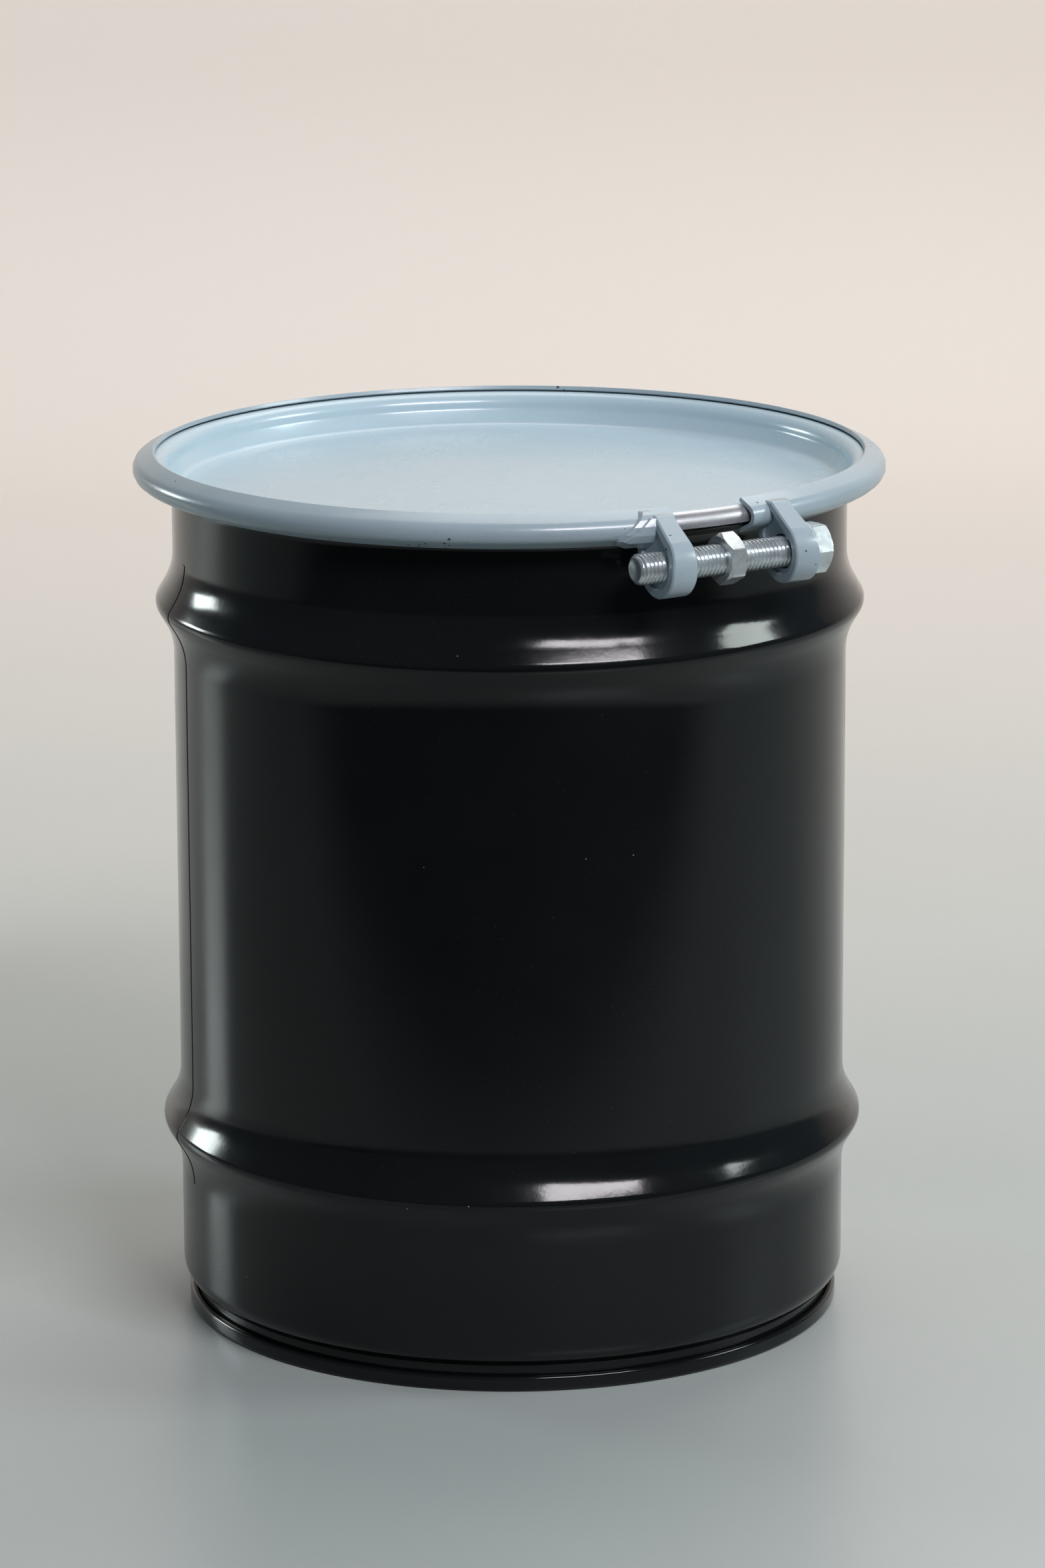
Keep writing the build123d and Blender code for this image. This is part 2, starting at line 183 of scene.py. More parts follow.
class RingSizes(PropertyGroup):
    sheet: size("Ring sheet", "Thickness of the strip", 2.3 * MM)
    leg_slope: angle("Leg slope", "Slope of the legs from horizontal", 25.0)
    nose_radius: size("Nose radius", "Inside radius of the nose", 3.94 * MM)
    nose_flat: angle("Nose flat", "Largest turn of a nose flat, as in the lugs' saddles", 26.0)
    play: size("Play", "Clear of the cover and the curl", 0.33 * MM)
    edge_reach: size("Edge reach", "Edge of each leg outside the curl's middle", 0.9 * MM)
    gap: size("Gap", "Between the strip's ends", 43.5 * MM)


class BoltSizes(PropertyGroup):
    major_radius: size("Major radius", "Outside radius of the thread", 7.94 * MM)
    pitch: size("Pitch", "Distance between threads", 2.3091 * MM)
    thread_depth: size("Thread depth", "Height of the thread", 1.25 * MM)
    across_flats: size("Across flats", "Width of the head and the nut", 23.8 * MM)
    washer_face: size("Washer face", "Height of the washer face", 0.4 * MM)
    tip_chamfer: size("Tip chamfer", "Chamfer of the bolt's tip", 1.6 * MM)
    nut_turn: angle("Nut turn", "How far the nut is turned from the bolt's head", 28.0)


class Finishes(PropertyGroup):
    body: paint("Body enamel", "Black gloss enamel of the body", (0.0035, 0.0042, 0.0046))
    # the blue cast of the cover's colour is a painted reflection of bluish sky light; the enamel
    # itself is pale grey-white
    cover: paint("Cover enamel", "Pale enamel of the cover", (0.42, 0.55, 0.62))
    ring: paint("Ring enamel", "Grey enamel of the ring and lugs", (0.32, 0.405, 0.455))
    zinc: paint("Zinc", "Zinc plate of the bolt and nut", (0.66, 0.72, 0.74))
    bare: paint("Bare steel", "Bare cover rim and chipped edges", (0.50, 0.50, 0.53))
    rubber: paint("Rubber", "Gasket", (0.012, 0.012, 0.013))
    sealant: paint("Seam compound", "Sealant in the bottom seam", (0.10, 0.085, 0.06))
    wall: paint("Backdrop", "Studio wall", (0.86, 0.79, 0.74))
    floor: paint("Floor", "Painted floor", (0.42, 0.46, 0.45))


# ---- profiles -------------------------------------------------------------------------------


def ahead(length, heading):
    return Vector((length * math.cos(heading), length * math.sin(heading)))


def bent_path(start, heading, *moves, flat=FLAT, chord=CHORD):
    """The corners of a sheet's middle line, as (point, heading in, heading out).

    A move is a straight length, or a bend given as (radius, turn). A left turn is positive.
    """
    point = Vector(start)
    corners = []
    arriving = heading
    for move in moves:
        if isinstance(move, tuple):
            radius, turn = move
            flats = max(1, round(abs(turn) / min(flat, chord / radius)))
            step = turn / flats
            length = 2 * radius * math.sin(abs(step) / 2)
        else:
            step, flats, length = 0, 1, move
        for _ in range(flats):
            leaving = heading + step / 2
            corners.append((point, arriving, leaving))
            point = point + ahead(length, leaving)
            arriving = leaving
            heading = heading + step
    corners.append((point, arriving, arriving))
    return [(corners[0][0], corners[0][2], corners[0][2])] + corners[1:]


def beside(path, distance):
    """The corners of a line that runs to the left of a path, mitred at each bend."""
    points = []
    for point, arriving, leaving in path:
        mitre = distance / math.cos((leaving - arriving) / 2)
        points.append(point + ahead(mitre, (leaving + arriving) / 2 + math.pi / 2))
    return points


def soft_end(points, radius):
    """Cuts the first and last corners of a sheet's outline back a little, for a rounded edge."""
    first, last = points[0], points[-1]
    along = (points[1] - first).normalized() * radius
    back = (points[-2] - last).normalized() * radius
    return [first + along] + points[1:-1] + [last + back]


def sheet_outline(path, thickness, edge=SHEET_EDGE):
    """The closed outline of a sheet along a path, with its cut ends rounded."""
    half = thickness / 2
    left, right = beside(path, half), beside(path, -half)
    start, finish = path[0][0], path[-1][0]
    inset = (half - edge) / half
    return [
        start + (left[0] - start) * inset,
        *soft_end(left, edge),
        finish + (left[-1] - finish) * inset,
        finish + (right[-1] - finish) * inset,
        *soft_end(right, edge)[::-1],
        start + (right[0] - start) * inset,
    ]


def path_end(path):
    return path[-1][0]


# ---- meshes ---------------------------------------------------------------------------------


def new_object(name, vertices, faces, sharp=SMOOTH):
    mesh = bpy.data.meshes.new(name)
    mesh.from_pydata(vertices, [], faces)
    mesh.validate()
    build = bmesh.new()
    build.from_mesh(mesh)
    bmesh.ops.remove_doubles(build, verts=build.verts, dist=1e-7)
    bmesh.ops.recalc_face_normals(build, faces=build.faces)
    build.to_mesh(mesh)
    build.free()
    mesh.shade_smooth()
    mesh.set_sharp_from_angle(angle=sharp)
    made = bpy.data.objects.new(name, mesh)
    bpy.context.collection.objects.link(made)
    return made


def lathe(name, outline, around, start=0.0, sweep=2 * math.pi):
    """Turns a closed outline of (radius, height) points about the drum's axis."""
    whole = abs(sweep - 2 * math.pi) < 1e-9
    rows = around if whole else around + 1
    vertices = []
    for row in range(rows):
        turn = start + sweep * row / around
        cos, sin = math.cos(turn), math.sin(turn)
        vertices += [(p.x * cos, p.x * sin, p.y) for p in outline]
    count = len(outline)
    faces = []
    for row in range(around):
        here = row * count
        there = ((row + 1) % rows) * count
        for k in range(count):
            nxt = (k + 1) % count
            faces.append((here + k, there + k, there + nxt, here + nxt))
    if not whole:
        faces.append(tuple(range(count)))
        faces.append(tuple(range((rows - 1) * count, rows * count))[::-1])
    return new_object(name, vertices, faces)


def turned_on_bolt(name, rows, steps, axis_y, axis_z, sharp=math.radians(40)):
    """A solid on the bolt's axis. Each row is (x, radius as a function of the angle)."""
    vertices = []
    for x, radius in rows:
        for step in range(steps):
            turn = 2 * math.pi * step / steps
            r = radius(turn)
            vertices.append((x, axis_y - r * math.cos(turn), axis_z + r * math.sin(turn)))
    faces = []
    for row in range(len(rows) - 1):
        for step in range(steps):
            nxt = (step + 1) % steps
            a, b = row * steps, (row + 1) * steps
            faces.append((a + step, a + nxt, b + nxt, b + step))
    return new_object(name, vertices, faces, sharp)


def ride_and_stand_for(piece, body, slot, *nodes):
    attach(piece, body)
    if nodes:
        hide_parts(*nodes)


# ---- materials ------------------------------------------------------------------------------


class Shader:
    """A Principled material whose nodes are added by name."""

    def __init__(self, name, colour, metallic=0.0, roughness=0.3):
        self.material = bpy.data.materials.new("finish_" + name)
        self.material.use_nodes = True
        self.tree = self.material.node_tree
        self.surface = self.tree.nodes["Principled BSDF"]
        self.set("Base Color", (*colour, 1.0))
        self.set("Metallic", metallic)
        self.set("Roughness", roughness)
        self.place = self.tree.nodes.new("ShaderNodeTexCoord").outputs["Object"]

    def set(self, socket, value):
        self.surface.inputs[socket].default_value = value

    def link(self, source, target):
        self.tree.links.new(source, target)

    def node(self, kind, **values):
        made = self.tree.nodes.new(kind)
        for key, value in values.items():
            if key in made.inputs:
                made.inputs[key].default_value = value
            else:
                setattr(made, key, value)
        return made

    def math(self, operation, a, b=0.0):
        made = self.node("ShaderNodeMath", operation=operation)
        for socket, value in zip(made.inputs, (a, b)):
            if isinstance(value, (int, float)):
                socket.default_value = value
            else:
                self.link(value, socket)
        return made.outputs[0]

    def add(self, a, b):
        return self.math("ADD", a, b)

    def times(self, a, b):
        return self.math("MULTIPLY", a, b)

    def noise(self, scale, detail=2.0, roughness=0.5):
        made = self.node("ShaderNodeTexNoise", Scale=scale, Detail=detail, Roughness=roughness)
        self.link(self.place, made.inputs["Vector"])
        return made.outputs["Fac"]

    def cells(self, scale):
        """The distance to the middle of the nearest cell."""
        made = self.node("ShaderNodeTexVoronoi", Scale=scale)
        self.link(self.place, made.inputs["Vector"])
        return made.outputs["Distance"]

    def spots(self, scale, limit):
        """1 inside small round spots, 0 elsewhere."""
        return self.math("LESS_THAN", self.cells(scale), limit)

    def spread(self, source, low, high, to_low=0.0, to_high=1.0):
        """Maps the range low to high onto the range to_low to to_high, clamped."""
        made = self.node("ShaderNodeMapRange")
        self.link(source, made.inputs["Value"])
        made.inputs["From Min"].default_value = low
        made.inputs["From Max"].default_value = high
        made.inputs["To Min"].default_value = to_low
        made.inputs["To Max"].default_value = to_high
        return made.outputs["Result"]

    def mix(self, factor, first, second):
        made = self.node("ShaderNodeMix", data_type="RGBA")
        self.link(factor, made.inputs["Factor"])
        for socket, value in ((made.inputs[6], first), (made.inputs[7], second)):
            if isinstance(value, tuple):
                socket.default_value = (*value, 1.0)
            else:
                self.link(value, socket)
        return made.outputs[2]

    def bump(self, height, strength, distance, onto=None):
        made = self.node("ShaderNodeBump", Strength=strength, Distance=distance)
        self.link(height, made.inputs["Height"])
        if onto:
            self.link(onto, made.inputs["Normal"])
        return made.outputs["Normal"]

    def normal(self, source):
        self.link(source, self.surface.inputs["Normal"])

    def colour(self, source):
        self.link(source, self.surface.inputs["Base Color"])

    def roughness(self, source):
        self.link(source, self.surface.inputs["Roughness"])

    def metallic(self, source):
        self.link(source, self.surface.inputs["Metallic"])


def tint(colour, factor):
    return tuple(min(1.0, channel * factor) for channel in colour)


def body_enamel(finishes):
    """Black gloss stoving enamel: faint orange peel, dust and a few chips."""
    base = tuple(finishes.body)
    shader = Shader("black_enamel", base, roughness=0.12)
    cloud = shader.noise(9.0, 4.0, 0.6)
    dust = shader.spots(260.0, 0.035)
    chipped = shader.math("GREATER_THAN", shader.noise(14.0), 0.62)
    chips = shader.times(shader.spots(90.0, 0.03), chipped)
    marks = shader.math("MAXIMUM", shader.times(dust, 0.35), chips)
    shaded = shader.mix(shader.spread(cloud, 0.3, 0.7), base, tint(base, 1.6))
    shader.colour(shader.mix(marks, shaded, (0.30, 0.30, 0.30)))
    haze = shader.spread(shader.noise(22.0, 5.0, 0.65), 0.35, 0.75, 0.10, 0.19)
    shader.roughness(shader.add(haze, shader.times(marks, 0.3)))
    peel = shader.bump(shader.noise(420.0, 2.0), 0.05, 0.0004)
    wave = shader.bump(shader.noise(7.0, 1.0), 0.08, 0.004, onto=peel)
    shader.normal(wave)
    shader.set("Specular IOR Level", 0.3)
    return shader.material


def cover_enamel(finishes):
    """Pale enamel whose blue cast is a painted reflection of sky light, worn to grainy bare steel
    round the outside of the rim.
    """
    base = tuple(finishes.cover)
    shader = Shader("cover_enamel", base, roughness=0.25)
    axes = shader.node("ShaderNodeSeparateXYZ")
    shader.link(shader.place, axes.inputs["Vector"])
    x, y = axes.outputs["X"], axes.outputs["Y"]
    radius = shader.math("SQRT", shader.add(shader.times(x, x), shader.times(y, y)))
    grain = shader.noise(1500.0, 3.0, 0.7)
    ragged = shader.times(shader.math("SUBTRACT", grain, 0.5), 0.002)
    bare = shader.spread(shader.add(radius, ragged), 0.1865, 0.1900)
    cloud = shader.spread(shader.noise(6.0, 3.0), 0.3, 0.7)
    tone = shader.mix(cloud, base, tint(base, 1.07))
    steel = shader.mix(grain, tint(tuple(finishes.bare), 0.55), tint(tuple(finishes.bare), 1.35))
    shader.colour(shader.mix(bare, tone, steel))
    shader.metallic(shader.times(bare, 0.85))
    gloss = shader.spread(shader.noise(30.0, 4.0, 0.6), 0.3, 0.7, 0.20, 0.30)
    shader.roughness(shader.add(gloss, shader.times(bare, 0.12)))
    shader.normal(shader.bump(shader.noise(240.0, 2.0), 0.03, 0.0004))
    shader.set("Coat Weight", 0.2)
    shader.set("Coat Roughness", 0.12)
    return shader.material


def ring_enamel(finishes):
    """Grey satin enamel with small dark chips where the ring is handled."""
    base = tuple(finishes.ring)
    shader = Shader("ring_enamel", base, roughness=0.32)
    cloud = shader.spread(shader.noise(12.0, 4.0, 0.6), 0.3, 0.7)
    tone = shader.mix(cloud, tint(base, 0.93), tint(base, 1.08))
    ragged = shader.times(shader.noise(900.0, 3.0, 0.7), 0.5)
    where = shader.math("GREATER_THAN", shader.noise(26.0, 2.0), 0.60)
    chip = shader.math("LESS_THAN", shader.add(shader.cells(210.0), ragged), 0.40)
    chips = shader.times(chip, where)
    shader.colour(shader.mix(chips, tone, (0.035, 0.036, 0.038)))
    gloss = shader.spread(shader.noise(40.0, 4.0, 0.6), 0.3, 0.7, 0.26, 0.38)
    shader.roughness(shader.add(gloss, shader.times(chips, 0.25)))
    peel = shader.bump(shader.noise(420.0, 2.0), 0.12, 0.0004)
    shader.normal(shader.bump(chips, -0.4, 0.0002, onto=peel))
    shader.set("Coat Weight", 0.3)
    shader.set("Coat Roughness", 0.15)
    return shader.material


def zinc_plate(finishes):
    """Bright zinc plate with fine grain and darker handling marks."""
    base = tuple(finishes.zinc)
    shader = Shader("zinc_plate", base, metallic=0.72, roughness=0.25)
    cloud = shader.spread(shader.noise(120.0, 5.0, 0.65), 0.3, 0.7)
    shader.colour(shader.mix(cloud, tint(base, 0.72), tint(base, 1.12)))
    shader.roughness(shader.spread(shader.noise(220.0, 4.0, 0.7), 0.3, 0.7, 0.20, 0.32))
    shader.normal(shader.bump(shader.noise(500.0, 2.0), 0.04, 0.0002))
    return shader.material


def gasket_rubber(finishes):
    """Matt black moulded rubber."""
    base = tuple(finishes.rubber)
    shader = Shader("gasket_rubber", base, roughness=0.75)
    shader.colour(shader.mix(shader.noise(180.0, 3.0), base, tint(base, 2.2)))
    shader.normal(shader.bump(shader.noise(1200.0, 2.0), 0.3, 0.0003))
    return shader.material


def seam_sealant(finishes):
    """Dull set sealing compound."""
    base = tuple(finishes.sealant)
    shader = Shader("seam_sealant", base, roughness=0.7)
    shader.colour(shader.mix(shader.noise(260.0, 3.0), base, tint(base, 1.5)))
    shader.normal(shader.bump(shader.noise(700.0, 2.0), 0.3, 0.0004))
    return shader.material


MATERIALS = {}


def coat(piece, name):
    piece.data.materials.clear()
    piece.data.materials.append(MATERIALS[name])


# ---- operators ------------------------------------------------------------------------------


class DRUM_OT_finishes(Operator):
    """Mix the enamels, zinc, rubber and sealant"""

    bl_idname = "drum.finishes"
    bl_label = "Finishes"

    def execute(self, context):
        finishes = context.scene.drum_finishes
        MATERIALS.update(
            black_enamel=body_enamel(finishes),
            cover_enamel=cover_enamel(finishes),
            ring_enamel=ring_enamel(finishes),
            zinc_plate=zinc_plate(finishes),
            gasket_rubber=gasket_rubber(finishes),
            seam_sealant=seam_sealant(finishes),
        )
        return {"FINISHED"}


def rim_levels(body, cover, ring):
    """Heights and radii of the curl, the channel and the ring, worked out from the ring's top."""
    curl_bend = body.curl_radius - body.body_sheet / 2
    curl_at = body.wall_radius - body.body_sheet / 2 + body.mouth_flare + curl_bend
    channel_inside = body.curl_radius + cover.side_gap
    channel_outside = channel_inside + cover.sheet
    rise = cover.crown_gap - cover.side_gap
    cos, tan = math.cos(ring.leg_slope), math.tan(ring.leg_slope)
    half_open = (rise + (channel_outside + body.curl_radius + 2 * ring.play) / cos) / 2
    above_curl = (rise + (channel_outside - body.curl_radius) / cos) / 2
    edge_at = curl_at + ring.edge_reach
    half_height = half_open + ring.sheet / cos - ring.edge_reach * tan
    ring_level = RING_BOX[1][2] - half_height
    nose_at = curl_at + (half_open - ring.nose_radius / cos) / tan
    return {
        "curl_at": curl_at,
        "curl_bend": curl_bend,
        "curl_level": ring_level - above_curl,
        "channel_bend": channel_inside + cover.sheet / 2,
        "channel_level": ring_level - above_curl + rise,
        "edge_at": edge_at,
        "half_height": half_height,
        "ring_level": ring_level,
        "nose_at": nose_at,
    }


def body_path(s, rim):
    """The middle line of the body sheet, from the tip of its hook to the end of its curl."""
    middle_radius = s.wall_radius - s.body_sheet / 2
    hook = s.body_sheet + s.seam_gap
    neck_radius = middle_radius - s.neck_in
    bend_level = s.body_sheet + s.seam_gap + hook + s.body_sheet / 2
    hook_tip = s.chime_height - hook - s.body_sheet / 2 - HOOK_SHORT
    turn = math.acos(1 - s.neck_in / (s.neck_root + s.neck_turn))
    neck_height = (s.neck_root + s.neck_turn) * math.sin(turn)
    foot = s.hoop_foot + s.body_sheet / 2
    crest = s.hoop_crest - s.body_sheet / 2
    sin, cos = math.sin(s.hoop_slope), math.cos(s.hoop_slope)
    flank = (s.hoop_rise - (foot + crest) * (1 - cos)) / sin
    half_width = (foot + crest) * sin + flank * cos
    hoop = (
        (foot, -s.hoop_slope),
        flank,
        (crest, 2 * s.hoop_slope),
        flank,
        (foot, -s.hoop_slope),
    )
    flare_bend = s.mouth_flare / 2 / (1 - math.cos(s.flare_slope))
    flare_height = 2 * flare_bend * math.sin(s.flare_slope)
    return bent_path(
        (neck_radius + 2 * hook, hook_tip),
        -math.pi / 2,
        hook_tip - bend_level,
        (hook, -math.pi),
        s.straight_from - neck_height - bend_level,
        (s.neck_root, -turn),
        (s.neck_turn, turn),
        s.lower_hoop - half_width - s.straight_from,
        *hoop,
        s.upper_hoop - s.lower_hoop - 2 * half_width,
        *hoop,
        rim["curl_level"] - flare_height - s.upper_hoop - half_width,
        (flare_bend, -s.flare_slope),
        (flare_bend, s.flare_slope),
        (rim["curl_bend"], -CURL_TURN),
    )


class DRUM_OT_shell(Operator):
    """Roll the body: foot hook, neck, wall with two hoops, flared mouth and curl"""

    bl_idname = "drum.shell"
    bl_label = "Body shell"

    def execute(self, context):
        s = context.scene.drum_sizes
        rim = rim_levels(s, context.scene.drum_cover, context.scene.drum_ring)
        outline = sheet_outline(body_path(s, rim), s.body_sheet)
        shell = lathe("drum_shell", outline, s.around)
        coat(shell, "black_enamel")
        ride_and_stand_for(shell, "drum", "black_enamel", "body_shell")
        return {"FINISHED"}


class DRUM_OT_bottom(Operator):
    """Seam the bottom head on, with its compound"""

    bl_idname = "drum.bottom"
    bl_label = "Bottom head"

    def execute(self, context):
        s = context.scene.drum_sizes
        hook = s.body_sheet + s.seam_gap
        neck_radius = s.wall_radius - s.body_sheet / 2 - s.neck_in
        chuck, end_hook = neck_radius - hook, neck_radius + hook
        seaming = end_hook + 2 * hook
        fold_level = s.chime_height - hook - s.body_sheet / 2
        corner = s.chime_corner - s.body_sheet / 2
        panel = s.head_recess - s.body_sheet / 2
        slope, bend = PANEL_STEP_SLOPE, PANEL_STEP_BEND
        moves = (
            fold_level - HEAD_HOOK_LOW,
            (hook, -math.pi),
            fold_level - s.chime_corner,
            (corner, -math.pi / 2),
            seaming - chuck - 2 * corner,
            (corner, -math.pi / 2),
            panel - HEAD_CORNER - s.chime_corner,
            (HEAD_CORNER, math.pi / 2),
            chuck - HEAD_CORNER - PANEL_STEP_AT,
            (bend, -slope),
            PANEL_STEP / math.sin(slope) - 2 * bend * math.tan(slope / 2),
            (bend, slope),
        )
        start = (end_hook, HEAD_HOOK_LOW)
        reach = path_end(bent_path(start, math.pi / 2, *moves)).x
        path = bent_path(start, math.pi / 2, *moves, reach)
        head = lathe("bottom_head_rolled", sheet_outline(path, s.body_sheet), s.around)
        coat(head, "black_enamel")
        ride_and_stand_for(head, "drum", "black_enamel", "bottom_head")
        coat(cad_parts["seam_compound"], "seam_sealant")
        return {"FINISHED"}


class DRUM_OT_side_seam(Operator):
    """Lay the welded side seam on the wall"""

    bl_idname = "drum.side_seam"
    bl_label = "Side seam"

    def execute(self, context):
        s = context.scene.drum_sizes
        rim = rim_levels(s, context.scene.drum_cover, context.scene.drum_ring)
        wall = beside(body_path(s, rim), -s.body_sheet / 2)
        low, high = s.straight_from, rim["curl_level"] - 2 * s.mouth_flare - s.curl_radius
        line = [p for p in wall if low < p.y < high]
        half = s.side_seam_width / 2
        across = (
            (-half, -s.side_seam_rise),
            (-half * SIDE_SEAM_TOP, s.side_seam_rise),
            (half * SIDE_SEAM_TOP, s.side_seam_rise),
            (half, -s.side_seam_rise),
        )
        vertices = []
        for point in line:
            for aside, out in across:
                turn = s.side_seam_at - math.pi / 2 + aside / s.wall_radius
                reach = point.x + out
                vertices.append((reach * math.cos(turn), reach * math.sin(turn), point.y))
        faces = []
        for row in range(len(line) - 1):
            for k in range(4):
                nxt = (k + 1) % 4
                here, above = 4 * row, 4 * row + 4
                faces.append((here + k, here + nxt, above + nxt, above + k))
        faces.append((3, 2, 1, 0))
        faces.append(tuple(4 * len(line) - 4 + k for k in range(4)))
        seam = new_object("side_seam", vertices, faces)
        coat(seam, "black_enamel")
        ride_and_stand_for(seam, "drum", "black_enamel")
        return {"FINISHED"}


class DRUM_OT_cover(Operator):
    """Press the cover, and finish its gasket"""

    bl_idname = "drum.cover"
    bl_label = "Cover and gasket"

    def execute(self, context):
        s, c = context.scene.drum_sizes, context.scene.drum_cover
        rim = rim_levels(s, c, context.scene.drum_ring)
        skirt_at = rim["curl_at"] + rim["channel_bend"]
        panel = rim["channel_level"] + rim["channel_bend"] - c.depth
        sin, cos = math.sin(c.wall_slope), math.cos(c.wall_slope)
        drop = rim["channel_level"] - panel - c.shoulder * sin - c.corner * (1 - sin)
        moves = (
            c.skirt,
            (rim["channel_bend"], math.pi),
            (c.shoulder, -c.wall_slope),
            drop / cos,
            (c.corner, c.wall_slope - math.pi / 2),
        )
        start = (skirt_at, rim["channel_level"] - c.skirt)
        reach = path_end(bent_path(start, math.pi / 2, *moves)).x
        path = bent_path(start, math.pi / 2, *moves, reach * 0.5, reach * 0.5)
        cover = lathe("cover_pressed", sheet_outline(path, c.sheet), s.around)
        coat(cover, "cover_enamel")
        ride_and_stand_for(cover, "lid", "cover_enamel", "cover")
        coat(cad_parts["cover_gasket"], "gasket_rubber")
        return {"FINISHED"}


class DRUM_OT_ring(Operator):
    """Roll the closure ring as two halves that meet at the back"""

    bl_idname = "drum.ring"
    bl_label = "Closure ring"

    def execute(self, context):
        s, r = context.scene.drum_sizes, context.scene.drum_ring
        rim = rim_levels(s, context.scene.drum_cover, r)
        bend = r.nose_radius + r.sheet / 2
        sin, cos = math.sin(r.leg_slope), math.cos(r.leg_slope)
        start = Vector((
            rim["edge_at"] - r.sheet / 2 * sin,
            rim["ring_level"] - rim["half_height"] + r.sheet / 2 * cos,
        ))
        leg = (rim["nose_at"] + bend * sin - start.x) / cos
        nose = (bend, math.pi - 2 * r.leg_slope)
        path = bent_path(start, r.leg_slope, leg, nose, leg, flat=r.nose_flat, chord=r.sheet * 2)
        outline = sheet_outline(path, r.sheet, RING_EDGE)
        half_gap = math.asin(r.gap / 2 / rim["edge_at"])
        back = math.pi / 2
        steps = s.around // 2
        right = lathe("ring_half_plain_lug", outline, steps, half_gap - back, math.pi - half_gap)
        left = lathe("ring_half_threaded_lug", outline, steps, back, math.pi - half_gap)
        for half in (right, left):
            coat(half, "ring_enamel")
            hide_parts("closure_ring")
        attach(right, "ring")
        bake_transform(left)
        return {"FINISHED"}


def round_edges(piece, width):
    """Cleans a forged node's facets and rounds its edges."""
    weld = piece.modifiers.new("weld", "WELD")
    weld.merge_threshold = 1e-5
    flat = piece.modifiers.new("flat", "DECIMATE")
    flat.decimate_type = "DISSOLVE"
    flat.angle_limit = math.radians(1.0)
    bevel = piece.modifiers.new("edges", "BEVEL")
    bevel.width = width
    bevel.segments = 3
    bevel.limit_method = "ANGLE"
    bevel.angle_limit = math.radians(25)
    bevel.harden_normals = True


class DRUM_OT_lugs(Operator):
    """Finish the two forged lugs and their welds"""

    bl_idname = "drum.lugs"
    bl_label = "Lugs and welds"

    def execute(self, context):
        for name in ("plain_lug", "threaded_lug"):
            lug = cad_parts[name]
            coat(lug, "ring_enamel")
            round_edges(lug, LUG_EDGE)
        for name in ("plain_lug_weld", "threaded_lug_weld"):
            coat(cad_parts[name], "ring_enamel")
        return {"FINISHED"}


def constant(value):
    """A round row's radius, the same at every angle."""
    return lambda at: value


def hexagon(across_flats, turn):
    """The radius of a hexagon as a function of the angle."""
    sixth = math.pi / 3

    def radius(at):
        off = (at - turn) % sixth - sixth / 2
        return across_flats / 2 / math.cos(off)

    return radius


def hex_rows(across_flats, turn, low, high, low_round, high_round):
    """Rows of a hexagon whose corners are cut by a 30 degree cone at the rounded ends."""
    flat_radius = hexagon(across_flats, turn)
    corner = across_flats / 2 / math.cos(math.pi / 6)
    start = across_flats / 2 - HEX_CHAMFER
    rise = math.tan(math.pi / 6)
    depth = (corner - start) * rise
    rows = []

    def cut(distance):
        limit = start + distance / rise
        return lambda at: min(flat_radius(at), limit)

    steps = HEX_CHAMFER_ROWS
    if low_round:
        rows += [(low + depth * k / steps, cut(depth * k / steps)) for k in range(steps)]
        rows.append((low + depth, flat_radius))
    else:
        rows.append((low, flat_radius))
    if high_round:
        rows.append((high - depth, flat_radius))
        rows += [
            (high - depth * k / steps, cut(depth * k / steps)) for k in reversed(range(steps))
        ]
    else:
        rows.append((high, flat_radius))
    return rows


def thread_radius(x, bolt):
    """The thread's radius at x, as a function of the angle: a right-hand trapezoid wave."""

    def radius(at):
        phase = (x / bolt.pitch + at / (2 * math.pi)) % 1.0
        wave = abs(2 * phase - 1)
        cut = min(1.0, max(0.0, (wave - THREAD_CREST) / THREAD_FLANK))
        return bolt.major_radius - bolt.thread_depth * cut

    return radius


class DRUM_OT_bolt(Operator):
    """Cut the bolt's thread and its hexagonal head"""

    bl_idname = "drum.bolt"
    bl_label = "Bolt"

    def execute(self, context):
        bolt = context.scene.drum_bolt
        axis_y, axis_z = middle(BOLT_BOX, 1), middle(BOLT_BOX, 2)
        tip = BOLT_BOX[0][0]
        top = BOLT_BOX[1][0]
        seat = top - HEAD_LENGTH
        root = bolt.major_radius - bolt.thread_depth
        tip_radius = root * TIP_ROUND
        rows = [
            (tip + 1.2 * MM, constant(0.0)),
            (tip + 1.1 * MM, constant(root * 0.35)),
            (tip + 0.5 * MM, constant(root * 0.72)),
            (tip, constant(root * 0.84)),
            (tip, constant(tip_radius)),
        ]
        x = tip + 0.25 * MM
        while x < seat - 1.5 * MM:
            from_tip = x - tip
            cap = tip_radius + from_tip / bolt.tip_chamfer * (bolt.major_radius - tip_radius)
            thread = thread_radius(x, bolt)
            rows.append((x, lambda at, t=thread, c=cap: min(t(at), c)))
            x += bolt.pitch / ROWS_PER_THREAD
        shank_radius = bolt.major_radius - SHANK_SMALLER
        rows += [(seat - 0.8 * MM, constant(shank_radius)), (seat, constant(shank_radius))]
        shank = turned_on_bolt("bolt_shank", rows, THREAD_STEPS, axis_y, axis_z)
        washer = bolt.across_flats / 2 - 0.5 * MM
        rows = [
            (seat, constant(bolt.major_radius - 0.6 * MM)),
            (seat, constant(washer - 0.2 * MM)),
            (seat + 0.15 * MM, constant(washer)),
            (seat + bolt.washer_face, constant(washer)),
        ]
        rows += hex_rows(bolt.across_flats, 0.0, seat + bolt.washer_face, top, False, True)
        rows.append((top, constant(0.0)))
        head = turned_on_bolt("bolt_head", rows, HEX_STEPS, axis_y, axis_z, HEX_SMOOTH)
        for piece in (shank, head):
            coat(piece, "zinc_plate")
            ride_and_stand_for(piece, "bolt", "zinc_plate", "bolt")
        return {"FINISHED"}


